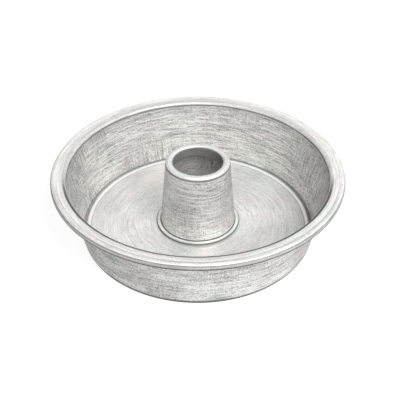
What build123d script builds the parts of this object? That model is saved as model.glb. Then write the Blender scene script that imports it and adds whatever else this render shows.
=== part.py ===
from build123d import *
from math import asin, atan2, cos, degrees, hypot, radians, sin, sqrt
import os

# Angel food cake pan in two parts: a flared ring with a wired rim, and a loose base that carries a
# tapered tube. Everything is round about Z and bent from thin sheet. Millimetres; Z is up, and the
# origin is on the pan's axis at the surface it stands on.

# The ring
pan_depth = 63.5  # from the table to the crown of the rim's bead
mouth_radius = 115.0  # inside the wall, at the rim
wall_flare = 13.2  # how much narrower the flat seat at the foot of the wall is than the mouth
rim_width = 13.3  # from the inside of the mouth to the outside of the bead
ledge_width = 8.3  # flat of the ledge that stands on the table and carries the base
pan_sheet = 1.2
bottom_bend = 3.0  # inside radius, ledge to wall
rim_bend = 2.0  # inside radius, wall to flange
flange_drop = 0.7  # how far the flange lies below the bead's crown
step_bend = 1.0  # inside radius where the flange turns up to the bead
step_straight = 0.6  # straight between that bend and the bead
bead_wrap = 280.0  # degrees that the bead curls on past its crown

# The wire in the rim
wire_radius = 1.8
wire_play = 0.2  # between the wire and the sheet curled round it

# The loose base
plate_sheet = 1.0
seat_gap = 0.6  # how far the base's hem stands inside the bottom bend
hem_bend = 0.9  # inside radius of the hem
hem_width = 3.5  # flat of the hem that lies on the ledge
edge_rise = 1.0  # from the floor up to the crown of the hem
edge_bend = 2.4  # inside radius where the floor turns up to the hem
edge_straight = 0.4  # straight between that bend and the hem

# The tube
tube_height = 70.4  # from the table to the top of the lip
tube_mouth_radius = 21.6  # inside the lip's skirt
tube_foot_radius = 34.1  # outside of the wall where it meets the foot bead
foot_bead_width = 4.3  # how far the bead on the floor stands out from the foot of the wall
tube_sheet = 1.0
lip_bend = 2.5  # inside radius of the half-round lip
skirt_length = 6.0  # straight part inside the mouth
foot_bend = 1.0  # inside radius, bead to tube wall
bead_gap = 0.3  # between the two leaves of the foot bead
clinch_width = 3.4  # flange under the floor, from the hole's edge out
hole_play = 0.1  # between the clinched neck and the hole's edge

LEFT = 1
RIGHT = -1


def sheet_ring(stations, sheet, last_heading=None):
    """A round piece of bent sheet, turned about Z from its cut section.

    The sheet runs like a belt round its bends, so that each straight is the common tangent of the two
    bends beside it. A bend is (centre r, centre z, inside radius, LEFT or RIGHT), and the first
    station, and the last where the sheet ends straight, is a point (r, z) in the middle of the sheet.
    Where last_heading is given, in degrees, the sheet ends in its last bend, heading that way.
    """
    rounds = []
    for station in stations:
        if len(station) == 2:
            rounds.append((*station, 0, LEFT))
        else:
            r, z, inside_radius, side = station
            rounds.append((r, z, inside_radius + sheet / 2, side))

    headings = []
    for (r1, z1, bend1, side1), (r2, z2, bend2, side2) in zip(rounds, rounds[1:]):
        lean = asin((side2 * bend2 - side1 * bend1) / hypot(r2 - r1, z2 - z1))
        headings.append(atan2(z2 - z1, r2 - r1) - lean)

    def at(index, heading, off):
        """A point off the sheet's middle, to its left, where station index is met on this heading."""
        r, z, bend, side = rounds[index]
        reach = off - side * bend
        return (r - reach * sin(heading), z + reach * cos(heading))

    def arc(index, start, end, off):
        """One face of the sheet round a bend, from one heading to the next."""
        r, z, bend, side = rounds[index]
        turn = degrees(side * (end - start)) % 360
        first = degrees(start) - side * 90
        return CenterArc((r, z), bend - side * off, first, side * turn)

    starts = headings
    ends = headings[1:]
    if last_heading is not None:
        ends = ends + [radians(last_heading)]
    last = len(rounds) - 1

    with BuildPart() as piece:
        with BuildSketch(Plane.XZ):
            with BuildLine():
                for off in (sheet / 2, -sheet / 2):
                    for index, heading in enumerate(headings):
                        Line(at(index, heading, off), at(index + 1, heading, off))
                    for index, (start, end) in enumerate(zip(starts, ends), 1):
                        arc(index, start, end, off)
                begin = headings[0]
                finish = ends[-1] if last_heading is not None else headings[-1]
                Line(at(0, begin, sheet / 2), at(0, begin, -sheet / 2))
                Line(at(last, finish, sheet / 2), at(last, finish, -sheet / 2))
            make_face()
        revolve(axis=Axis.Z)
    return piece.part


def step_run(first_bend, second_bend, sheet, rise, straight):
    """How far apart across the sheet two opposite bends stand that shift it up by the rise."""
    bends = first_bend + second_bend + sheet
    return sqrt(straight**2 + rise * (2 * bends - rise))


# Places that several pieces share
seat_radius = mouth_radius - wall_flare
rim_radius = mouth_radius + rim_width
ledge_top = pan_sheet
bead_bend = wire_radius + wire_play
bead_centre = (rim_radius - bead_bend - pan_sheet, pan_depth - bead_bend - pan_sheet)
hem_radius = hem_bend + plate_sheet
hem_centre = (seat_radius - seat_gap, ledge_top + hem_radius)
floor_top = ledge_top + 2 * hem_radius - edge_rise
floor_middle = floor_top - plate_sheet / 2
neck_radius = tube_foot_radius + plate_sheet / 2
hole_radius = neck_radius + hole_play


def make_pan_ring():
    """Ledge, bottom bend, flared wall, flange and the bead curled round the wire."""
    flange_top = pan_depth - flange_drop
    run = step_run(step_bend, bead_bend, pan_sheet, flange_drop, step_straight)
    stations = [
        (seat_radius - ledge_width, pan_sheet / 2),
        (seat_radius, pan_sheet + bottom_bend, bottom_bend, LEFT),
        (mouth_radius + rim_bend + pan_sheet, flange_top - rim_bend - pan_sheet, rim_bend, RIGHT),
        (bead_centre[0] - run, flange_top + step_bend, step_bend, LEFT),
        (*bead_centre, bead_bend, RIGHT),
    ]
    return sheet_ring(stations, pan_sheet, last_heading=-bead_wrap)


def make_rim_wire():
    """The steel ring inside the bead."""
    with BuildPart() as wire:
        with BuildSketch(Plane.XZ):
            with Locations(bead_centre):
                Circle(wire_radius)
        revolve(axis=Axis.Z)
    return wire.part


def make_base_plate():
    """The loose floor: a holed disc whose edge rises, rolls over and lies flat on the ledge."""
    run = step_run(edge_bend, hem_bend, plate_sheet, edge_rise, edge_straight)
    stations = [
        (hole_radius, floor_middle),
        (hem_centre[0] - run, floor_top + edge_bend, edge_bend, LEFT),
        (*hem_centre, hem_bend, RIGHT),
        (hem_centre[0] - hem_width, ledge_top + plate_sheet / 2),
    ]
    return sheet_ring(stations, plate_sheet)


def make_centre_tube():
    """The tapered tube: flange and bead that clinch the floor, the wall, and the lip turned inward."""
    fold_bend = bead_gap / 2
    fold_radius = fold_bend + tube_sheet
    foot_bead_radius = tube_foot_radius + foot_bead_width
    bead_top = floor_top + 2 * fold_radius
    lip_radius = lip_bend + tube_sheet
    lip_middle = tube_height - lip_radius
    stations = [
        (hole_radius + clinch_width, floor_top - plate_sheet - tube_sheet / 2),
        (neck_radius, floor_middle, plate_sheet / 2, RIGHT),
        (foot_bead_radius - fold_radius, floor_top + fold_radius, fold_bend, LEFT),
        (tube_foot_radius + foot_bend, bead_top + foot_bend, foot_bend, RIGHT),
        (tube_mouth_radius + lip_radius, lip_middle, lip_bend, LEFT),
        (tube_mouth_radius + tube_sheet / 2, lip_middle - skirt_length),
    ]
    return sheet_ring(stations, tube_sheet)


os.makedirs("parts", exist_ok=True)
pieces = {
    "pan_ring": make_pan_ring(),
    "rim_wire": make_rim_wire(),
    "base_plate": make_base_plate(),
    "centre_tube": make_centre_tube(),
}
for name, shape in pieces.items():
    export_step(shape, f"parts/{name}.step")
    print(name, "volume", round(shape.volume), "mm3")
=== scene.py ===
# %% [markdown]
# # A loose-based angel food cake pan in satin aluminium
# The pan is three pieces of thin sheet and a wire, all round about one axis. The packed model gives
# their places and outer sizes. This script gives each piece its finished surface and lights it.
# Everything starts from the frame, so nothing has to be fitted afterwards: a piece made from the
# same sizes as its solid lands where that solid is.

# %% Open the frame
from collections import namedtuple
from math import asin, atan2, cos, degrees, hypot, pi, radians, sin, sqrt, tau

import bpy
import numpy as np
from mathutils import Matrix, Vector


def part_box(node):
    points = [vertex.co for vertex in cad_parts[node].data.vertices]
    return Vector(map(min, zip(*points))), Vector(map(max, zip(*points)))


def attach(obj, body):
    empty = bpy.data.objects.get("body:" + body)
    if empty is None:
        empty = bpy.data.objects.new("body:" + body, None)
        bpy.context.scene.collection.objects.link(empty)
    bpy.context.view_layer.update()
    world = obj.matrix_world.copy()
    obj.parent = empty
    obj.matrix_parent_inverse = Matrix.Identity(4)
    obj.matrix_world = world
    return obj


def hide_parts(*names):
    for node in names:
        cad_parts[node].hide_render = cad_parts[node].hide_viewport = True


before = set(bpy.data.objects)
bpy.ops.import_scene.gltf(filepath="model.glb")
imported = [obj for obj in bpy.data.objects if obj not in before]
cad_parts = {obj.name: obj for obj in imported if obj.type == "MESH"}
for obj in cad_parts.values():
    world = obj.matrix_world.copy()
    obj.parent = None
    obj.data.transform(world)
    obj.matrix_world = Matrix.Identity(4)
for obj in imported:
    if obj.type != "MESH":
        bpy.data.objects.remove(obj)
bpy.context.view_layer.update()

print("nodes", sorted(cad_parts))

# %% [markdown]
# ## The section of a bent sheet
# Pans are spun or pressed from flat sheet, so a section is one strip of even thickness that runs
# straight, bends round a tool of known radius, and runs straight again. It could be drawn as a curve
# and given thickness by a modifier, but then the length along the sheet, which the brush marks
# follow, would be unknown. Here the strip runs like a belt round its bends: each straight is the
# common tangent of the two bends beside it, so a bend can move and the strip stays smooth.

# %% Bends, and the straights between them
LEFT = 1
RIGHT = -1


def as_bend(station, sheet):
    """A station as (centre r, centre z, radius of the sheet's middle, side). An end point is a bend
    of no radius."""
    if len(station) == 2:
        return (*station, 0.0, LEFT)
    r, z, inside_radius, side = station
    return r, z, inside_radius + sheet / 2, side


def common_tangent(first, second):
    """Heading of the straight between two bends: the bearing from centre to centre, less the arc
    sine of the difference of the two signed radii over their distance."""
    r1, z1, radius1, side1 = first
    r2, z2, radius2, side2 = second
    lean = asin((side2 * radius2 - side1 * radius1) / hypot(r2 - r1, z2 - z1))
    return atan2(z2 - z1, r2 - r1) - lean


def point_on(bend, heading):
    """Where the sheet's middle has a heading on a bend: the centre plus the radius times the bearing
    a quarter turn off the heading, on the side that the sheet turns away from."""
    r, z, radius, side = bend
    return r + side * radius * np.sin(heading), z - side * radius * np.cos(heading)


print("a bend to the left has the sign", LEFT, "and one to the right", RIGHT)

# %% Even steps along a straight and round a bend
STRAIGHT_STEP = 0.0016
ARC_STEP = radians(9)


def even_shares(whole, step, fewest):
    """Shares of a whole up to 1, at even steps of about the size asked for."""
    count = max(fewest, round(whole / step))
    return np.arange(1, count + 1) / count


def along_straight(start, end, heading, along):
    """Rows of r, z, heading and length along on a straight: the start plus shares of the way to the
    end, and the length so far plus shares of the distance."""
    run = hypot(end[0] - start[0], end[1] - start[1])
    share = even_shares(run, STRAIGHT_STEP, fewest=1)
    r = start[0] + (end[0] - start[0]) * share
    z = start[1] + (end[1] - start[1]) * share
    return np.column_stack([r, z, heading + 0 * share, along + run * share])


def round_bend(bend, heading, leaving, along):
    """Rows of r, z, heading and length along round a bend, from one heading to another: the heading
    turns by shares of the turn, and the length grows by the radius times them."""
    radius, side = bend[2:]
    turn = (side * (leaving - heading)) % tau
    share = even_shares(turn, ARC_STEP, fewest=2)
    bearing = heading + side * turn * share
    r, z = point_on(bend, bearing)
    return np.column_stack([r, z, bearing, along + radius * turn * share])


print("steps of", STRAIGHT_STEP, "m on a straight and", round(degrees(ARC_STEP)), "degrees round a bend")

# %% Walk along the middle of a sheet
Line = namedtuple("Line", "r z heading along marks")


def walk(stations, sheet, last_heading=None):
    """The middle line of a bent sheet: arrays of r, z, heading and length along it, and its marks.

    A station is a bend (centre r, centre z, inside radius, LEFT or RIGHT) or an end point (r, z). A
    straight runs to each station but the first, and a bend turns from there to the next straight, or
    to the last heading. marks holds the lengths along at the start and at the end of each bend.
    """
    bends = [as_bend(station, sheet) for station in stations]
    headings = [common_tangent(first, second) for first, second in zip(bends, bends[1:])]
    leaving = headings[1:]
    if last_heading is not None:
        leaving = leaving + [last_heading]

    rows = [np.array([[*point_on(bends[0], headings[0]), headings[0], 0.0]])]
    marks = []
    for index, heading in enumerate(headings):
        start = point_on(bends[index], heading)
        end = point_on(bends[index + 1], heading)
        rows.append(along_straight(start, end, heading, rows[-1][-1, 3]))
        if index < len(leaving):
            bend_start = rows[-1][-1, 3]
            rows.append(round_bend(bends[index + 1], heading, leaving[index], bend_start))
            marks.append((bend_start, rows[-1][-1, 3]))
    return Line(*np.concatenate(rows).T, marks)


corner = walk([(0, 0), (0.010, 0.003, 0.002, LEFT), (0.013, 0.010)], sheet=0.001)
print("a corner of one bend has", len(corner.r), "points, and its bend is", corner.marks)


# %% How far apart the bends of a small step stand
def step_run(first_bend, second_bend, sheet, rise, straight):
    """Distance across two opposite bends that shift a sheet by the rise: the root of the straight
    squared plus the rise times twice the summed middle radii less the rise."""
    bends = first_bend + second_bend + sheet
    return sqrt(straight**2 + rise * (2 * bends - rise))


print("bends of 1 mm that shift 1 mm sheet by 1 mm stand", round(step_run(1, 1, 1, 1, 0), 2), "mm apart")

# %% [markdown]
# ## From a section to a turned piece
# Sheared sheet never has knife edges: the cut ends are broken by a fraction of a millimetre, and that
# small round is what catches light along an edge. Here the half thickness falls off near each end
# along a quarter circle, which rounds the edge without a bevel. The two faces of the strip then
# make one closed loop, and the loop is carried round the axis. Each point also keeps how far along
# the sheet it lies, and on which face, for the finish to follow.

# %% Both faces of a sheet as one loop
EDGE_ROUND = 0.00022
EDGE_STEPS = 4
Loop = namedtuple("Loop", "r z along left_face")


def closed_loop(line, sheet):
    """Both faces of a sheet as one loop of points.

    A face is the middle line plus or minus the unit normal times half the thickness. Near a cut end
    the half thickness is the full one less the edge round, plus the root of the edge round squared
    less the square of what is left of the way into it.
    """
    length = line.along[-1]
    into = EDGE_ROUND * (1 - np.cos(np.linspace(0, pi / 2, EDGE_STEPS + 1)))
    kept = line.along[(line.along > EDGE_ROUND) & (line.along < length - EDGE_ROUND)]
    along = np.concatenate([into, kept, (length - into)[::-1]])
    r, z, heading = (np.interp(along, line.along, values) for values in line[:3])
    near = np.minimum(np.minimum(along, length - along), EDGE_ROUND)
    half = sheet / 2 - EDGE_ROUND + np.sqrt(EDGE_ROUND**2 - (EDGE_ROUND - near) ** 2)
    out_r = -np.sin(heading) * half
    out_z = np.cos(heading) * half
    left = (r + out_r, z + out_z, along, np.ones_like(along))
    right = (r - out_r, z - out_z, along, np.zeros_like(along))
    return Loop(*(np.concatenate([there, back[::-1]]) for there, back in zip(left, right)))


print("cut edges are rounded by", EDGE_ROUND, "m in", EDGE_STEPS, "steps")

# %% Carry a loop round the axis
TURNS = 320


def turned_grid(loop, shape):
    """Points and quads of a closed loop carried round Z.

    Point (turn, k) is (r cos turn, r sin turn, z) of loop point k. shape says, for all turns and
    loop points at once, how far the surface moves outward and upward.
    """
    turn = np.linspace(0, tau, TURNS, endpoint=False)[:, None]
    outward, upward = shape(turn, loop)
    r = loop.r + outward + 0 * turn
    z = loop.z + upward + 0 * turn
    points = np.stack([r * np.cos(turn), r * np.sin(turn), z], -1).reshape(-1, 3)
    count = len(loop.r)
    step, k = np.meshgrid(np.arange(TURNS), np.arange(count), indexing="ij")
    here = step * count
    there = (step + 1) % TURNS * count
    after = (k + 1) % count
    quads = np.stack([here + k, there + k, there + after, here + after], -1).reshape(-1, 4)
    return points, quads


def signed_volume(points, quads):
    """A sixth of the sum, over both triangles of each quad, of the first corner times the cross
    product of the other two. It is negative where the faces point inward."""
    a, b, c, d = (points[quads[:, corner]] for corner in range(4))
    return ((a * np.cross(b, c)).sum() + (a * np.cross(c, d)).sum()) / 6


print("a turned piece has a point every", degrees(tau / TURNS), "degrees round the axis")

# %% Put a turned piece into a mesh
CUBIC_MM = 1e9


def turned(name, loop, shape):
    """A closed loop carried round Z as a mesh, with its faces outward and each point's length along
    the sheet and face kept as attributes."""
    points, quads = turned_grid(loop, shape)
    volume = signed_volume(points, quads)
    if volume < 0:
        quads = quads[:, ::-1]
    mesh = bpy.data.meshes.new(name)
    mesh.vertices.add(len(points))
    mesh.vertices.foreach_set("co", points.astype(np.float32).ravel())
    mesh.loops.add(quads.size)
    mesh.loops.foreach_set("vertex_index", quads.astype(np.int32).ravel())
    mesh.polygons.add(len(quads))
    mesh.polygons.foreach_set("loop_start", np.arange(0, quads.size, 4, dtype=np.int32))
    mesh.update(calc_edges=True)
    mesh.polygons.foreach_set("use_smooth", np.ones(len(quads), bool))
    for label, values in (("along", loop.along), ("left_face", loop.left_face)):
        layer = mesh.attributes.new(label, "FLOAT", "POINT")
        layer.data.foreach_set("value", np.tile(values, TURNS).astype(np.float32))
    mesh.validate()
    piece = bpy.data.objects.new(name, mesh)
    bpy.context.scene.collection.objects.link(piece)
    print(name, "points", len(points), "quads", len(quads), "mm3", round(abs(volume) * CUBIC_MM))
    return piece


print("a cubic metre is", CUBIC_MM, "mm3")

# %% [markdown]
# ## Slow waves
# No wall that a roller has pressed is quite even, and no thin disc stays quite flat. Noise could move
# the points, but it would lift the edges off the bends that hold them. Here each wave is a sine, and
# a squared sine fades it out where the metal is held.


# %% Waves, and where they fade out
def waves_round(turn, waves):
    """The sum of sines of the turn, each given as (how many times round, height, phase)."""
    return sum(height * np.sin(count * turn + phase) for count, height, phase in waves)


def share_between(values, start, end):
    """How far values have come from start to end, from 0 to 1, and held there outside."""
    return np.clip((values - start) / (end - start), 0, 1)


def free_between(share):
    """A squared sine: nothing at both ends of a stretch and 1 in its middle."""
    return np.sin(pi * share) ** 2


print("a wave a quarter of the way along has", round(free_between(0.25), 2), "of its height")

# %% [markdown]
# ## The ring
# One sheet makes the ledge, the bottom bend, the flared wall, the flange and the bead round the wire.
# Its outer size comes from its solid. The thickness of the sheet and the inside radius of each bend
# can't be read from a box, so they are written here, in metres, as they are in the part's source.

# %% Sizes of the ring
ring_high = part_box("pan_ring")[1]
rim_radius = ring_high.x
pan_depth = ring_high.z
pan_sheet = 0.0012
mouth_radius = 0.1150  # inside the wall, at the rim
seat_radius = 0.1018  # of the flat seat at the foot of the wall
ledge_width = 0.0083  # flat of the ledge that carries the base
bottom_bend = 0.0030  # inside radius, ledge to wall
rim_bend = 0.0020  # inside radius, wall to flange
flange_drop = 0.0007  # how far the flange lies below the bead's crown
step_bend = 0.0010  # inside radius where the flange turns up to the bead
step_straight = 0.0006  # straight between that bend and the bead
bead_bend = 0.0020  # inside radius of the bead
bead_wrap = radians(280)  # how far the bead curls on past its crown
print("rim", round(rim_radius, 5), "depth", round(pan_depth, 5))

# %% Section of the ring
bead_centre = (rim_radius - bead_bend - pan_sheet, pan_depth - bead_bend - pan_sheet)
flange_top = pan_depth - flange_drop
flange_run = step_run(step_bend, bead_bend, pan_sheet, flange_drop, step_straight)
ring_line = walk([
    (seat_radius - ledge_width, pan_sheet / 2),
    (seat_radius, pan_sheet + bottom_bend, bottom_bend, LEFT),
    (mouth_radius + rim_bend + pan_sheet, flange_top - rim_bend - pan_sheet, rim_bend, RIGHT),
    (bead_centre[0] - flange_run, flange_top + step_bend, step_bend, LEFT),
    (*bead_centre, bead_bend, RIGHT),
], pan_sheet, last_heading=-bead_wrap)
bottom_turn, rim_turn, step_turn, bead_turn = ring_line.marks
wall_foot = bottom_turn[1]
wall_top = rim_turn[0]
print("the ring's sheet is", round(ring_line.along[-1], 4), "m from edge to edge")
print("its wall is", round(wall_top - wall_foot, 4), "m of that")

# %% [markdown]
# ### The ring's wall
# A spun wall is never quite a cone: the roller leaves slow waves up the wall, and years of use leave
# it about a tenth of a millimetre out of round. Both are real shape here, because they are what
# makes a reflection wander. They fade out at the bends, so the piece keeps the size of its solid.

# %% Make the ring
WALL_WAVE = 0.00006
WALL_WAVE_LENGTH = 0.0094
WALL_DRIFT = ((1, 0.9, 0.6), (2, 0.5, 2.1))  # how the waves' phase changes round the pan
OUT_OF_ROUND = 0.00012
ROUND_WAVES = ((2, 0.6, 0.4), (5, 0.4, 1.3))  # an oval and a slight five-sided form


def ring_shape(turn, loop):
    """Waves up the wall, as a sine of the length along whose phase drifts with the turn, and two
    low waves round the pan, both faded in over the wall alone."""
    roller = WALL_WAVE * np.sin(tau * loop.along / WALL_WAVE_LENGTH + waves_round(turn, WALL_DRIFT))
    bulge = OUT_OF_ROUND * waves_round(turn, ROUND_WAVES)
    fade = free_between(share_between(loop.along, wall_foot, wall_top))
    return fade * (roller + bulge), 0 * turn


pan_ring = turned("spun_ring", closed_loop(ring_line, pan_sheet), ring_shape)
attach(pan_ring, "ring")
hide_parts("pan_ring")

# %% [markdown]
# ## The loose base
# A pressed disc with a hemmed edge, which lies on the ring's ledge. A disc that lies on another piece
# could be placed by eye, but here its height follows from the ledge and its edge from its solid, so
# it can't float or sink.

# %% Sizes of the base
plate_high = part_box("base_plate")[1]
tube_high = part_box("centre_tube")[1]
plate_sheet = 0.0010
hem_bend = 0.0009  # inside radius of the hem
hem_width = 0.0035  # flat of the hem that lies on the ledge
edge_rise = 0.0010  # from the floor up to the crown of the hem
edge_bend = 0.0024  # inside radius where the floor turns up to the hem
edge_straight = 0.0004  # straight between that bend and the hem
tube_foot_radius = 0.0341  # outside of the tube's wall where it meets its foot bead
hole_play = 0.0001  # between the tube's neck and the hole's edge
print("base", round(plate_high.x, 5), "foot of the tube", round(tube_high.x, 5))

# %% Section of the base
ledge_top = pan_sheet
hem_radius = hem_bend + plate_sheet
hem_centre = (plate_high.x - hem_radius, ledge_top + hem_radius)
floor_top = ledge_top + 2 * hem_radius - edge_rise
floor_middle = floor_top - plate_sheet / 2
neck_radius = tube_foot_radius + plate_sheet / 2
hole_radius = neck_radius + hole_play
edge_run = step_run(edge_bend, hem_bend, plate_sheet, edge_rise, edge_straight)
plate_line = walk([
    (hole_radius, floor_middle),
    (hem_centre[0] - edge_run, floor_top + edge_bend, edge_bend, LEFT),
    (*hem_centre, hem_bend, RIGHT),
    (hem_centre[0] - hem_width, ledge_top + plate_sheet / 2),
], plate_sheet)
edge_turn, hem_turn = plate_line.marks
print("the base's sheet is", round(plate_line.along[-1], 4), "m from edge to edge")
print("its floor is", round(edge_turn[0], 4), "m of that")

# %% [markdown]
# ### The base's floor
# The floor of a pan that has been cut on and washed isn't flat: it dishes by a tenth or two of a
# millimetre. That dish is a few slow waves in radius and turn, faded out at the tube and at the hem,
# where the metal is held.

# %% Make the base
FLOOR_DISH = 0.00016
DISH_PHASE = 3.2 * pi  # how far the dish's sine runs from the tube to the hem
LOBES = 2  # how many times round the floor the dish comes and goes
LOBE_PHASE = 0.7
SPIRAL_HEIGHT = 0.6  # of the winding wave, as a share of the dish
SPIRAL_ARMS = 3


def floor_shape(turn, loop):
    """Height waves of the floor: a slow sine in radius that comes and goes with the turn, plus a
    lower one that winds round, times a squared sine that is nothing at the tube and the hem."""
    share = share_between(loop.r, tube_high.x, plate_line.r[0] + edge_turn[0])
    dish = np.sin(DISH_PHASE * share + np.cos(turn)) * (0.5 + 0.5 * np.cos(LOBES * turn + LOBE_PHASE))
    spiral = SPIRAL_HEIGHT * np.sin(tau * share + SPIRAL_ARMS * turn)
    fade = np.where(loop.along < edge_turn[0], free_between(share), 0)
    return 0 * turn, FLOOR_DISH * fade * (dish + spiral)


base_plate = turned("floor_disc", closed_loop(plate_line, plate_sheet), floor_shape)
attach(base_plate, "base")
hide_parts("base_plate")

# %% [markdown]
# ## The tube
# One drawn sheet: a flange under the floor, a neck through it, a folded bead on top, the tapered
# wall, and a lip rolled inward with a short skirt. The bead and flange clinch the floor between them.
# A cone with a torus on top would look much the same from afar, but not at the lip and the foot,
# where the sheet turns back on itself, so the whole section is walked as one strip.

# %% Sizes of the tube
tube_sheet = 0.0010
tube_mouth_radius = 0.0216  # inside the lip's skirt
lip_bend = 0.0025  # inside radius of the half-round lip
skirt_length = 0.0060  # straight part inside the mouth
foot_bend = 0.0010  # inside radius, bead to wall
bead_gap = 0.0003  # between the two leaves of the foot bead
clinch_width = 0.0034  # flange under the floor, from the hole's edge out
print("top of the tube", round(tube_high.z, 5))

# %% Section of the tube
fold_bend = bead_gap / 2
fold_radius = fold_bend + tube_sheet
bead_top = floor_top + 2 * fold_radius
lip_radius = lip_bend + tube_sheet
lip_middle = tube_high.z - lip_radius
tube_line = walk([
    (hole_radius + clinch_width, floor_top - plate_sheet - tube_sheet / 2),
    (neck_radius, floor_middle, plate_sheet / 2, RIGHT),
    (tube_high.x - fold_radius, floor_top + fold_radius, fold_bend, LEFT),
    (tube_foot_radius + foot_bend, bead_top + foot_bend, foot_bend, RIGHT),
    (tube_mouth_radius + lip_radius, lip_middle, lip_bend, LEFT),
    (tube_mouth_radius + tube_sheet / 2, lip_middle - skirt_length),
], tube_sheet)
_, fold_turn, foot_turn, lip_turn = tube_line.marks
tube_foot = foot_turn[1]
tube_shoulder = lip_turn[0]
print("the tube's sheet is", round(tube_line.along[-1], 4), "m from edge to edge")
print("its wall is", round(tube_shoulder - tube_foot, 4), "m of that")

# %% Make the tube
TUBE_WAVE = 0.00004
TUBE_WAVE_LENGTH = 0.0078
TUBE_DRIFT = ((1, 0.7, 1.9),)


def tube_shape(turn, loop):
    """The roller's slow waves up the tube's wall, as on the ring, faded out at the foot and the lip."""
    roller = np.sin(tau * loop.along / TUBE_WAVE_LENGTH + waves_round(turn, TUBE_DRIFT))
    fade = free_between(share_between(loop.along, tube_foot, tube_shoulder))
    return TUBE_WAVE * fade * roller, 0 * turn


centre_tube = turned("tapered_tube", closed_loop(tube_line, tube_sheet), tube_shape)
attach(centre_tube, "base")
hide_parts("centre_tube")

# %% [markdown]
# ## Words for building a finish
# A finish is a tree of nodes. It could be built by hand in the editor, but then it couldn't be read
# or changed here. A few short words make it read like a recipe: each adds one node, plugs in what it
# is given, numbers or other nodes' outputs, and hands back its own output.


# %% Adding a node to a tree
class Nodes:
    """The nodes and links of one tree, of a material or of the world."""

    def __init__(self, tree):
        self.nodes = tree.nodes
        self.links = tree.links

    def plug(self, socket, value):
        """Links an output to a socket, or sets the socket to a number or a colour."""
        if isinstance(value, bpy.types.NodeSocket):
            self.links.new(value, socket)
        else:
            socket.default_value = value

    def add(self, kind, inputs=None, **settings):
        """Adds a node with its settings and inputs, and hands back its outputs."""
        node = self.nodes.new("ShaderNode" + kind)
        for setting, value in settings.items():
            setattr(node, setting, value)
        for key, value in (inputs or {}).items():
            self.plug(node.inputs[key], value)
        return node.outputs


print("a tree of nodes can", [word for word in vars(Nodes) if not word.startswith("_")])


# %% Words for numbers and vectors
class Words(Nodes):
    """One word for each kind of sum that a tree of nodes is made of."""

    def math(self, operation, *values):
        """One sum, product or other operation on numbers."""
        return self.add("Math", dict(enumerate(values)), operation=operation)[0]

    def vector(self, operation, *values):
        """One operation on vectors that gives a vector."""
        return self.add("VectorMath", dict(enumerate(values)), operation=operation)[0]

    def scale(self, vector, amount):
        """A vector or a colour times a number."""
        return self.add("VectorMath", {0: vector, "Scale": amount}, operation="SCALE")[0]

    def join(self, x, y, z):
        """Three numbers as a vector."""
        return self.add("CombineXYZ", {0: x, 1: y, 2: z})[0]

    def split(self, vector):
        """A vector as three numbers."""
        return self.add("SeparateXYZ", {0: vector})

    def spread(self, value, low, high, to_low=0.0, to_high=1.0):
        """Eases value from low..high to to_low..to_high, and holds it there outside."""
        inputs = {"Value": value, "From Min": low, "From Max": high, "To Min": to_low, "To Max": to_high}
        return self.add("MapRange", inputs, interpolation_type="SMOOTHSTEP")[0]


print("words", [word for word in vars(Words) if not word.startswith("_")])


# %% A finish
class Finish(Words):
    """A new material, its shader, and words for what a surface is made of."""

    def __init__(self, name):
        self.material = bpy.data.materials.new(name)
        self.material.use_nodes = True
        super().__init__(self.material.node_tree)
        self.shader = self.nodes["Principled BSDF"]
        self.output = self.nodes["Material Output"]

    def attribute(self, name):
        """A value that the mesh keeps for each of its points."""
        return self.add("Attribute", attribute_name=name)["Fac"]

    def place(self):
        """The point in the piece's own coordinates, so that nothing slides when the piece moves."""
        return self.add("TexCoord")["Object"]

    def noise(self, vector, detail=2.0):
        """Smooth noise from 0 to 1, whose blobs are about 1 across."""
        return self.add("TexNoise", {"Vector": vector, "Scale": 1.0, "Detail": detail})["Fac"]

    def tint(self, share, first, second):
        """A colour that is a share of the way from the first to the second."""
        return self.add("Mix", {"Factor": share, "A": first, "B": second}, data_type="RGBA")["Result"]


print("more words", [word for word in vars(Finish) if not word.startswith("_")])


# %% The finish of a turned sheet
class SheetFinish(Finish):
    """The finish of a turned sheet, which knows how far along the sheet a point lies, on which face,
    and its bearing from the axis. radius is the piece's usual distance from the axis, and seed picks
    other noise than that of another piece."""

    def __init__(self, name, radius, seed):
        super().__init__(name)
        self.radius = radius
        self.seed = seed
        self.along = self.attribute("along")
        self.left_face = self.attribute("left_face")
        self.right_face = self.math("SUBTRACT", 1.0, self.left_face)
        x, y, _ = self.split(self.place())
        self.bearing = self.vector("NORMALIZE", self.join(x, y, 0.0))


kept_values = [layer.name for layer in pan_ring.data.attributes if layer.data_type == "FLOAT"]
print("each point of a turned sheet keeps", kept_values)

# %% [markdown]
# ## Marks on the metal
# Spun and scoured aluminium is bare metal under a thin dull oxide, with several layers of marks. The
# longest run round the pan, left by the roller and by scouring. Shorter ones cross them in patches,
# up the sheet and aslant. A picture of brushed metal would repeat and stretch, so each layer is
# noise, drawn out along its own direction. The direction round the axis is a unit vector, not an
# angle, so that no seam shows where the angle would jump.

# %% One layer of marks
STROKES_APART = 7.3  # moves the noise on the left face, so that the two faces differ
Marks = namedtuple("Marks", "round_length up_length shift strength detail twist", defaults=(2.0, 0.0))


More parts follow.
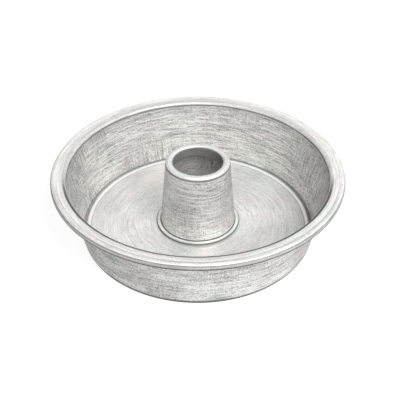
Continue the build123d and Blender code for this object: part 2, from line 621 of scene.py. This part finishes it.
def strokes(metal, marks):
    """Noise drawn out so that a stroke is round_length long round the axis and up_length up the
    sheet: the bearing times the radius over the one, and the length along over the other. twist, in
    turns per metre along the sheet, turns the bearing on the way up, so that the stroke is aslant."""
    angle = metal.math("MULTIPLY", metal.along, tau * marks.twist)
    spin = metal.add("VectorRotate", {"Vector": metal.bearing, "Angle": angle}, rotation_type="Z_AXIS")
    x, y, _ = metal.split(spin[0])
    count = metal.radius / marks.round_length
    lift = metal.math("MULTIPLY_ADD", metal.left_face, STROKES_APART, marks.shift + metal.seed)
    point = metal.join(
        metal.math("MULTIPLY_ADD", x, count, marks.shift),
        metal.math("MULTIPLY", y, count),
        metal.math("MULTIPLY_ADD", metal.along, 1 / marks.up_length, lift),
    )
    return metal.noise(point, marks.detail)


print("each layer of marks has", Marks._fields)

# %% The layers of marks
ROUND_BUNDLES = Marks(round_length=0.024, up_length=0.0015, shift=0.0, strength=1.0)
ROUND_STREAKS = Marks(round_length=0.008, up_length=0.00045, shift=31.0, strength=0.9, detail=3.0)
UP_BUNDLES = Marks(round_length=0.0013, up_length=0.018, shift=57.0, strength=1.1)
UP_STREAKS = Marks(round_length=0.0005, up_length=0.010, shift=71.0, strength=0.7)
SLANT_STREAKS = Marks(round_length=0.0010, up_length=0.012, shift=83.0, strength=0.7, twist=4.0)
ROUND_DASHES = Marks(round_length=0.007, up_length=0.0009, shift=113.0, strength=-0.32)
UP_DASHES = Marks(round_length=0.0011, up_length=0.010, shift=131.0, strength=-0.30)
DASH_LOW = 0.58
DASH_HIGH = 0.70
GRAIN_SCALE = 1050.0
GRAIN_DETAIL = 1.0
GRAIN_STRENGTH = 1.1
CLOUD_SCALE = 30.0
CLOUD_STRENGTH = 0.3
NOISE_MIDDLE = 0.5


def scuffed(metal, streaks, crossed):
    """The sum of all layers. Each is its noise less the noise's middle, times its strength. Marks
    round the axis lie where the sheet isn't crossed, and marks up it where it is. Dashes are only
    the peaks of their noise, and darker than the rest."""
    uncrossed = metal.math("SUBTRACT", 1.0, crossed)
    grain = metal.noise(metal.scale(metal.place(), GRAIN_SCALE), GRAIN_DETAIL)
    cloud = metal.noise(metal.scale(metal.place(), CLOUD_SCALE))
    layers = [(strokes(metal, ROUND_BUNDLES), ROUND_BUNDLES.strength, uncrossed)]
    layers += [(streaks, ROUND_STREAKS.strength, uncrossed)]
    for marks in (UP_BUNDLES, UP_STREAKS, SLANT_STREAKS):
        layers += [(strokes(metal, marks), marks.strength, crossed)]
    layers += [(grain, GRAIN_STRENGTH, 1.0), (cloud, CLOUD_STRENGTH, 1.0)]
    scuff = 0.0
    for noise, strength, where in layers:
        layer = metal.math("MULTIPLY", metal.math("SUBTRACT", noise, NOISE_MIDDLE), strength)
        scuff = metal.math("MULTIPLY_ADD", layer, where, scuff)
    for marks, where in ((ROUND_DASHES, uncrossed), (UP_DASHES, crossed)):
        dashes = metal.spread(strokes(metal, marks), DASH_LOW, DASH_HIGH)
        scuff = metal.math("MULTIPLY_ADD", metal.math("MULTIPLY", dashes, marks.strength), where, scuff)
    return scuff


print("grain of about", round(1 / GRAIN_SCALE, 4), "m, clouds of about", round(1 / CLOUD_SCALE, 3))

# %% [markdown]
# ## Patches
# Oxide is a little warm in one place and cool in another, and scouring dulls one place more than
# the next. The dull patches are also placed, by their shift and each piece's seed, to darken sides
# that the lamp leaves in shade, so they are partly painted shade. Larger, shadier patches are where
# the painted shade lines and the darker top of the bead are fullest. Each could be painted, but
# paint belongs to one piece. Here each kind of patch is slow noise, cut off softly below one level
# and above another. The two faces of a sheet weather apart, so each face has patches of its own.

# %% Soft patches
PATCHES_APART = 76.0  # moves the noise on the right face, so that the two faces differ
PATCH_DETAIL = 1.0
Patches = namedtuple("Patches", "scale shift low high")
WARM = Patches(scale=20.0, shift=0.0, low=0.40, high=0.62)
# Partly painted shade: the shift is picked so that these patches also darken sides the lamp leaves in
# shade.
DULL_AND_SHADED = Patches(scale=17.0, shift=48.0, low=0.42, high=0.66)
# Patches where the painted shade lines and the darker top of the bead are fullest.
SHADIER = Patches(scale=3.5, shift=37.0, low=0.40, high=0.48)


def patches(metal, kind):
    """Noise of the point times a scale, moved by the shift, the seed and the face, and eased from
    nothing at its low level to 1 at its high one."""
    start = metal.join(kind.shift, metal.seed, metal.math("MULTIPLY", metal.right_face, PATCHES_APART))
    point = metal.vector("ADD", metal.scale(metal.place(), kind.scale), start)
    return metal.spread(metal.noise(point, PATCH_DETAIL), kind.low, kind.high)


print("dull patches are about", round(1 / DULL_AND_SHADED.scale, 3), "m across")
print("tarnished ones are about", round(1 / SHADIER.scale, 3), "m across")

# %% [markdown]
# ## Bands and painted shade lines
# Bands make stretches of the sheet brighter or darker: painted highlight on tops that face the
# light, and painted shade in recesses and on undersides. Painted shade lines are dark lines along
# bends, grooves and undersides, where shade falls. In a white room the light alone draws no line
# along a bend. The length along the sheet says where each bend starts and ends, so a band or a line
# is a stretch of that length on one face of the sheet. patchy is how much of it fades out outside
# the shadier patches.

# %% Stretches with painted highlight or painted shade
SOFT = 0.0004
Band = namedtuple("Band", "start end face gain patchy", defaults=(0.0,))


def changed(metal, where, change, spot, shadier):
    """1 outside a place and 1 plus the change inside it, on the band's or shade line's own face, with
    less of the change outside the shadier patches."""
    face = {LEFT: metal.left_face, RIGHT: metal.right_face}[spot.face]
    where = metal.math("MULTIPLY", where, face)
    left = metal.math("MULTIPLY_ADD", shadier, spot.patchy, 1.0 - spot.patchy)
    return metal.math("MULTIPLY_ADD", metal.math("MULTIPLY", where, change), left, 1.0)


def banded(metal, shade, bands, shadier):
    """The shade times each band's gain inside it. The ends ease over twice the softness."""
    for band in bands:
        begun = metal.spread(metal.along, band.start - SOFT, band.start + SOFT)
        unfinished = metal.spread(metal.along, band.end - SOFT, band.end + SOFT, 1.0, 0.0)
        inside = metal.math("MULTIPLY", begun, unfinished)
        shade = metal.math("MULTIPLY", shade, changed(metal, inside, band.gain - 1, band, shadier))
    return shade


print("the ends of a band ease over", 2 * SOFT, "m")

# %% Painted shade lines along the bends
SHADE_LINE_CORE = 0.3
ShadeLine = namedtuple("ShadeLine", "place face half_width depth patchy shift", defaults=(0.0, 0.0))


def unshaded_of(metal, folds, shadier):
    """1 off the painted shade lines, less the depth of each line within its core, eased back to 1 at
    its half width. shift is how far along the sheet the line lies from its place."""
    unshaded = 1.0
    for fold in folds:
        apart = metal.math("ABSOLUTE", metal.math("SUBTRACT", metal.along, fold.place + fold.shift))
        near = metal.spread(apart, fold.half_width * SHADE_LINE_CORE, fold.half_width, 1.0, 0.0)
        unshaded = metal.math("MULTIPLY", unshaded, changed(metal, near, -fold.depth, fold, shadier))
    return unshaded


print("the core of a fold is", SHADE_LINE_CORE, "of its half width")

# %% [markdown]
# ## Satin aluminium
# The marks, patches, bands and painted shade lines above make one shade, which multiplies the
# colour of the oxide. Bare metal is half metallic, because full metal would show only the white
# room. The painted shade lines are also rougher and less metallic, so that they stay dark in
# reflections too. The marks also turn the light a little, by a bump of less than a tenth of a
# millimetre, and the highlight is drawn out round the axis.

# %% How satin metal shines
METALLIC = 0.50
SPECULAR_TINT = (0.1, 0.1, 0.1, 1.0)
SPECULAR_LEVEL = 0.3
ANISOTROPIC = 0.45
UNSHADED_ROUGHNESS = 0.47
SHADE_LINE_ROUGHNESS = 0.30
STREAK_ROUGHNESS = 0.25
BUMP_STRENGTH = 0.5
BUMP_DISTANCE = 0.00006


def satin_shine(metal, unshaded, streaks, scuff):
    """Gloss of the sheet: less metallic and rougher in the painted shade lines, with the streaks in the
    roughness, a bump from the scuff, and highlights drawn out round the axis."""
    uneven = metal.math("SUBTRACT", streaks, NOISE_MIDDLE)
    rough = metal.math("MULTIPLY_ADD", uneven, STREAK_ROUGHNESS, UNSHADED_ROUGHNESS + SHADE_LINE_ROUGHNESS)
    bump = {"Strength": BUMP_STRENGTH, "Distance": BUMP_DISTANCE, "Height": scuff}
    for socket, value in (
            ("Metallic", metal.math("MULTIPLY", unshaded, METALLIC)),
            ("Specular Tint", SPECULAR_TINT),
            ("Specular IOR Level", SPECULAR_LEVEL),
            ("Anisotropic", ANISOTROPIC),
            ("Roughness", metal.math("MULTIPLY_ADD", unshaded, -SHADE_LINE_ROUGHNESS, rough)),
            ("Tangent", metal.add("Tangent", direction_type="RADIAL", axis="Z")[0]),
            ("Normal", metal.add("Bump", bump)[0])):
        metal.plug(metal.shader.inputs[socket], value)


# Tarnish in this print means the painted shade lines, which are made this much rougher.
print("clean metal has a roughness of", UNSHADED_ROUGHNESS, "and tarnish adds", SHADE_LINE_ROUGHNESS)

# %% The finish of spun sheet
METAL_TONE = 0.87
OXIDE_COOL = (0.985, 1.0, 0.965)
OXIDE_WARM = (1.0, 0.965, 0.950)
WALL_EASE = 0.002
DULL_SHADE = -0.12
QUIET_MARKS = 0.4


def toned(colour, tone):
    """A colour times a tone, with full alpha."""
    return [*(value * tone for value in colour), 1.0]


def satin_aluminium(name, radius, tone, seed, wall, marks, crossing, bands, folds):
    """Bare sheet with its marks, patches, bands and painted shade lines. tone is how light it is. wall
    is the stretch along the sheet whose marks are strong, marks is their strength there, and crossing
    says how much of the marks round the axis give way to crossing ones in the dull and shaded
    patches of the left face and of the right one."""
    metal = SheetFinish(name, radius, seed)
    streaks = strokes(metal, ROUND_STREAKS)
    warm = patches(metal, WARM)
    past_foot = metal.spread(metal.along, wall[0], wall[0] + WALL_EASE)
    under_top = metal.spread(metal.along, wall[1] - WALL_EASE, wall[1], 1.0, 0.0)
    on_wall = metal.math("MULTIPLY", past_foot, under_top)
    # Dull patches that also stand in for shade on sides away from the lamp: partly painted shade.
    dull_and_shaded = metal.math("MULTIPLY", on_wall, patches(metal, DULL_AND_SHADED))
    on_left, on_right = crossing
    on_this_face = metal.math("MULTIPLY_ADD", metal.left_face, on_left - on_right, on_right)
    crossed = metal.math("MULTIPLY", dull_and_shaded, on_this_face)
    scuff = scuffed(metal, streaks, crossed)

    strength = metal.math("MULTIPLY_ADD", on_wall, marks * (1 - QUIET_MARKS), marks * QUIET_MARKS)
    shade = metal.math("MULTIPLY_ADD", scuff, strength, 1.0)
    shade = metal.math("MULTIPLY_ADD", dull_and_shaded, DULL_SHADE * marks, shade)
    # Patches where the painted shade is fullest.
    shadier = patches(metal, SHADIER)
    # The bands paint highlight and shade, and the lines paint shade along the bends.
    shade = banded(metal, shade, bands, shadier)
    unshaded = unshaded_of(metal, folds, shadier)
    shade = metal.math("MULTIPLY", shade, unshaded)

    oxide = metal.tint(warm, toned(OXIDE_COOL, tone), toned(OXIDE_WARM, tone))
    metal.plug(metal.shader.inputs["Base Color"], metal.scale(oxide, shade))
    satin_shine(metal, unshaded, streaks, scuff)
    print(name, "has", len(metal.nodes), "nodes,", len(bands), "bands and", len(folds), "folds")
    return metal.material


# %% [markdown]
# ## The ring's finish
# The flange and the top of the bead have a painted highlight, and the bead's outer side has
# painted shade, as do the inner wall, the ledge and the bottom bend. Painted shade lines lie where
# the wall meets its bends, in the step beside the bead, and along and under the bead. They could be
# as strong all round, but most lines are fainter, or gone, outside the shadier patches; inside them
# the top of the bead is darker too. Inside, the scouring crosses the roller's marks strongly, and
# outside it does so a little.


# %% Places round the bead
def bead_place(wrap):
    """Length along the sheet at an angle round the bead, in degrees on from its crown: the bead's
    start plus the middle radius times the angle from there, which is the rise to the crown plus the
    wrap."""
    return bead_turn[0] + (bead_bend + pan_sheet / 2) * (bead_rise + radians(wrap))


bead_rise = ring_line.heading[np.searchsorted(ring_line.along, bead_turn[0])]
HIGHLIGHT_WRAP = 64  # degrees on from the crown to the end of the painted highlight
SHADED_WRAP = 150  # to the end of the painted shade on the outer side
BEAD_LINE_WRAP = 52  # to a fine painted shade line along the bead
UNDER_WRAP = 137  # to the painted shade line under the bead
print("the sheet rises", round(degrees(bead_rise), 1), "degrees into the bead")

# %% The ring's bands and folds
LEDGE_SHADE = 0.004  # how far onto the ledge the painted shade of the seat reaches
# Painted shade on the ledge, the bottom bend and the inner wall, painted highlight on the flange and the
# bead's top, which is darker in the shadier patches, and painted shade on the bead's outer side.
ring_bands = [
    Band(bottom_turn[0] - LEDGE_SHADE, wall_foot - SOFT, LEFT, gain=0.85),
    Band(wall_foot, wall_top, LEFT, gain=0.90),
    Band(rim_turn[1], step_turn[0], LEFT, gain=1.12),
    Band(step_turn[1], bead_place(HIGHLIGHT_WRAP), LEFT, gain=1.08),
    Band(step_turn[1], bead_place(HIGHLIGHT_WRAP), LEFT, gain=0.85, patchy=1.0),
    Band(bead_place(HIGHLIGHT_WRAP), bead_place(SHADED_WRAP), LEFT, gain=0.62),
]
# Painted shade lines inside at the wall's foot and under the rim, along the rim's inner bend, in the step,
# along and under the bead, and outside under the bead and round the bottom bend where the pan stands.
ring_folds = [
    ShadeLine(wall_foot, LEFT, half_width=0.0014, depth=0.54, patchy=0.2, shift=0.0006),
    ShadeLine(wall_top, LEFT, half_width=0.0100, depth=0.22, patchy=0.3),
    ShadeLine(wall_top, LEFT, half_width=0.0012, depth=0.66, patchy=0.1, shift=-0.0006),
    ShadeLine(wall_top, LEFT, half_width=0.0014, depth=0.80, patchy=0.95, shift=0.0026),
    ShadeLine(step_turn[1], LEFT, half_width=0.0006, depth=0.15, patchy=0.9),
    ShadeLine(bead_place(BEAD_LINE_WRAP), LEFT, half_width=0.0007, depth=0.55, patchy=0.3),
    ShadeLine(bead_place(UNDER_WRAP), LEFT, half_width=0.0024, depth=0.86, patchy=0.2),
    ShadeLine(wall_top, RIGHT, half_width=0.0060, depth=0.54, patchy=0.2, shift=-0.0006),
    ShadeLine(wall_foot, RIGHT, half_width=0.0025, depth=0.76, shift=-0.0012),
    ShadeLine(wall_foot, RIGHT, half_width=0.0013, depth=0.42, shift=0.0008),
]
pan_ring.data.materials.append(satin_aluminium(
    "pan_metal", radius=0.110, tone=METAL_TONE, seed=41.0, wall=(wall_foot, wall_top), marks=1.45,
    crossing=(1.0, 0.35), bands=ring_bands, folds=ring_folds))

# %% [markdown]
# ## The base's finish
# A floor is wiped round and round, so its marks are weaker than the wall's and seldom cross. The
# crown of its hem has a painted highlight, and a painted shade line lies on each side of it: where
# the floor turns up, and where the hem goes down to the ledge.

# %% The base's bands and folds
FLOOR_EDGE = 0.006  # from the edge of the hole to where the stronger marks begin
HEM_HIGHLIGHT = 0.0022  # how far over the hem's round the painted highlight reaches
FLOOR_TONE = METAL_TONE * 0.93  # the floor is a little darker than the wall
# A painted highlight over the hem's crown.
base_bands = [Band(edge_turn[1], hem_turn[0] + HEM_HIGHLIGHT, LEFT, gain=1.14)]
# Painted shade lines where the floor turns up and in the groove between the hem and the ring.
base_folds = [
    ShadeLine(edge_turn[0], LEFT, half_width=0.0007, depth=0.38, patchy=0.2, shift=0.0003),
    ShadeLine(hem_turn[0], LEFT, half_width=0.0014, depth=0.54, patchy=0.2, shift=0.0038),
]
base_plate.data.materials.append(satin_aluminium(
    "base_metal", radius=0.070, tone=FLOOR_TONE, seed=19.0, wall=(FLOOR_EDGE, edge_turn[0]), marks=0.6,
    crossing=(0.3, 0.3), bands=base_bands, folds=base_folds))

# %% [markdown]
# ## The tube's finish
# The outside of the tube is its right face. It is scoured like the wall, and painted shade lines lie
# where its bead meets the floor, at its foot, at its shoulder and where the lip turns in. The inside
# is its left face, which has painted shade all the way up, and so has the skirt.

# %% The tube's bands and folds
SKIRT_SHADE = 0.0012  # how far back up the lip the painted shade of the skirt reaches
foot_middle = (foot_turn[0] + foot_turn[1]) / 2
# The lip is a little darker, and the inside and the skirt have painted shade.
tube_bands = [
    Band(tube_shoulder, lip_turn[1], RIGHT, gain=0.92),
    Band(tube_foot, lip_turn[1], LEFT, gain=0.56),
    Band(lip_turn[1] - SKIRT_SHADE, tube_line.along[-1], RIGHT, gain=0.45),
]
# Painted shade lines at the foot bend, at the shoulder, where the lip turns in, and where the bead meets
# the floor.
tube_folds = [
    ShadeLine(foot_middle, RIGHT, half_width=0.0014, depth=0.86, patchy=0.1),
    ShadeLine(tube_shoulder, RIGHT, half_width=0.0012, depth=0.64, patchy=0.1, shift=0.0002),
    ShadeLine(lip_turn[1], RIGHT, half_width=0.0010, depth=0.54, patchy=0.1, shift=-0.0014),
    ShadeLine(fold_turn[0], RIGHT, half_width=0.0010, depth=0.76, patchy=0.1, shift=0.0012),
]
centre_tube.data.materials.append(satin_aluminium(
    "tube_metal", radius=0.031, tone=METAL_TONE, seed=153.0, wall=(tube_foot, tube_shoulder), marks=1.25,
    crossing=(1.0, 0.45), bands=tube_bands, folds=tube_folds))

# %% [markdown]
# ## The wire in the rim
# Almost nothing of it shows: a line of grey where the bead's curl ends. So it keeps its solid, and
# gets the finish of drawn steel wire, whose die marks run along it. They are noise that is slow
# round the axis and fast up and down.

# %% The finish of the wire
MARKS_ROUND = 12.0
MARKS_UP = 4000.0
STEEL_DARK = (0.22, 0.22, 0.22, 1.0)
STEEL_LIGHT = (0.34, 0.335, 0.33, 1.0)


def drawn_wire(name):
    """Grey steel with noise drawn out round the axis, as a die leaves it."""
    steel = Finish(name)
    x, y, z = steel.split(steel.place())
    x, y, _ = steel.split(steel.vector("NORMALIZE", steel.join(x, y, 0.0)))
    point = steel.join(
        steel.math("MULTIPLY", x, MARKS_ROUND),
        steel.math("MULTIPLY", y, MARKS_ROUND),
        steel.math("MULTIPLY", z, MARKS_UP),
    )
    marks = steel.noise(point)
    steel.plug(steel.shader.inputs["Base Color"], steel.tint(marks, STEEL_DARK, STEEL_LIGHT))
    steel.plug(steel.shader.inputs["Metallic"], 1.0)
    steel.plug(steel.shader.inputs["Roughness"],
               steel.spread(marks, low=0.3, high=0.7, to_low=0.3, to_high=0.45))
    return steel.material


wire_finish = drawn_wire("wire_steel")
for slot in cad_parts["rim_wire"].material_slots:
    slot.material = wire_finish
print("wire finish", wire_finish.name)

# %% [markdown]
# ## Floor, light and camera
# The pan stands on white with a soft light from the right. White comes from what the camera and the
# metal see of the floor and the world, not from strong lamps, so the metal keeps its tone. The floor
# still takes the pan's shadow, because part of its white is lit and not glowing.


# %% Rays that see the background
def seen_directly(words):
    """1 for rays from the camera, from a reflection or through glass, 0 for the rest."""
    path = words.add("LightPath")
    reflected = words.math("MAXIMUM", path["Is Camera Ray"], path["Is Glossy Ray"])
    return words.math("MAXIMUM", reflected, path["Is Transmission Ray"])


print("the background is white to rays from the camera, from reflections and through glass")

# %% The white floor
FLOOR_SIZE = 6.0
FLOOR_GLOW = 0.88
FLOOR_LIT = 0.32
half = FLOOR_SIZE / 2
corners = [(-half, -half, 0), (half, -half, 0), (half, half, 0), (-half, half, 0)]
floor_mesh = bpy.data.meshes.new("white_floor")
floor_mesh.from_pydata(corners, [], [(0, 1, 2, 3)])
floor = bpy.data.objects.new("white_floor", floor_mesh)
bpy.context.scene.collection.objects.link(floor)
floor_finish = Finish("white_floor")
floor_finish.nodes.remove(floor_finish.shader)
lit = floor_finish.add("BsdfDiffuse", {"Color": (FLOOR_LIT, FLOOR_LIT, FLOOR_LIT, 1.0)})[0]
strength = floor_finish.math("MULTIPLY", seen_directly(floor_finish), FLOOR_GLOW)
glow = floor_finish.add("Emission", {"Strength": strength})[0]
both = floor_finish.add("AddShader", {0: lit, 1: glow})[0]
floor_finish.plug(floor_finish.output.inputs["Surface"], both)
floor_mesh.materials.append(floor_finish.material)
print("the floor glows", FLOOR_GLOW, "and is lit as a grey of", FLOOR_LIT)

# %% The world
WORLD_LEVEL = 0.30
world = bpy.data.worlds.new("white_room")
bpy.context.scene.world = world
world.use_nodes = True
room = Words(world.node_tree)
background = room.nodes["Background"]
room.plug(background.inputs["Color"], (1.0, 1.0, 1.0, 1.0))
room.plug(background.inputs["Strength"], room.spread(seen_directly(room), 0.0, 1.0, WORLD_LEVEL, 1.0))
print("the world lights the pan at", WORLD_LEVEL, "and looks white")

# %% The lamp
LAMP_PLACE = Vector((0.48, -0.73, 1.00))
LAMP_AIM = Vector((0.0, 0.0, 0.03))
LAMP_SIZE = 0.55
LAMP_POWER = 14.5
lamp_data = bpy.data.lights.new("key_from_the_right", "AREA")
lamp_data.size = LAMP_SIZE
lamp_data.energy = LAMP_POWER
lamp = bpy.data.objects.new("key_from_the_right", lamp_data)
lamp.location = LAMP_PLACE
lamp.rotation_euler = (LAMP_AIM - LAMP_PLACE).to_track_quat("-Z", "Y").to_euler()
bpy.context.scene.collection.objects.link(lamp)
print("lamp", round((LAMP_AIM - LAMP_PLACE).length, 2), "m away")

# %% The camera
CAMERA_DISTANCE = 0.620
CAMERA_HEIGHT_ANGLE = radians(37.4)
CAMERA_AIM = Vector((0.0019, 0.0, 0.0263))
FRAME_PIXELS = 400
FOCAL_PIXELS = 680
SENSOR_WIDTH = 36
NEAREST_SEEN = 0.01
camera_data = bpy.data.cameras.new("camera")
camera_data.sensor_width = SENSOR_WIDTH
camera_data.lens = SENSOR_WIDTH * FOCAL_PIXELS / FRAME_PIXELS
camera_data.clip_start = NEAREST_SEEN
camera = bpy.data.objects.new("camera", camera_data)
back = Vector((0, -cos(CAMERA_HEIGHT_ANGLE), sin(CAMERA_HEIGHT_ANGLE)))
camera.location = CAMERA_AIM + back * CAMERA_DISTANCE
camera.rotation_euler = (-back).to_track_quat("-Z", "Y").to_euler()
bpy.context.scene.collection.objects.link(camera)
bpy.context.scene.camera = camera
bpy.context.scene.view_settings.view_transform = "Standard"
print("lens", round(camera_data.lens, 2), "camera at", tuple(round(value, 3) for value in camera.location))

# %% [markdown]
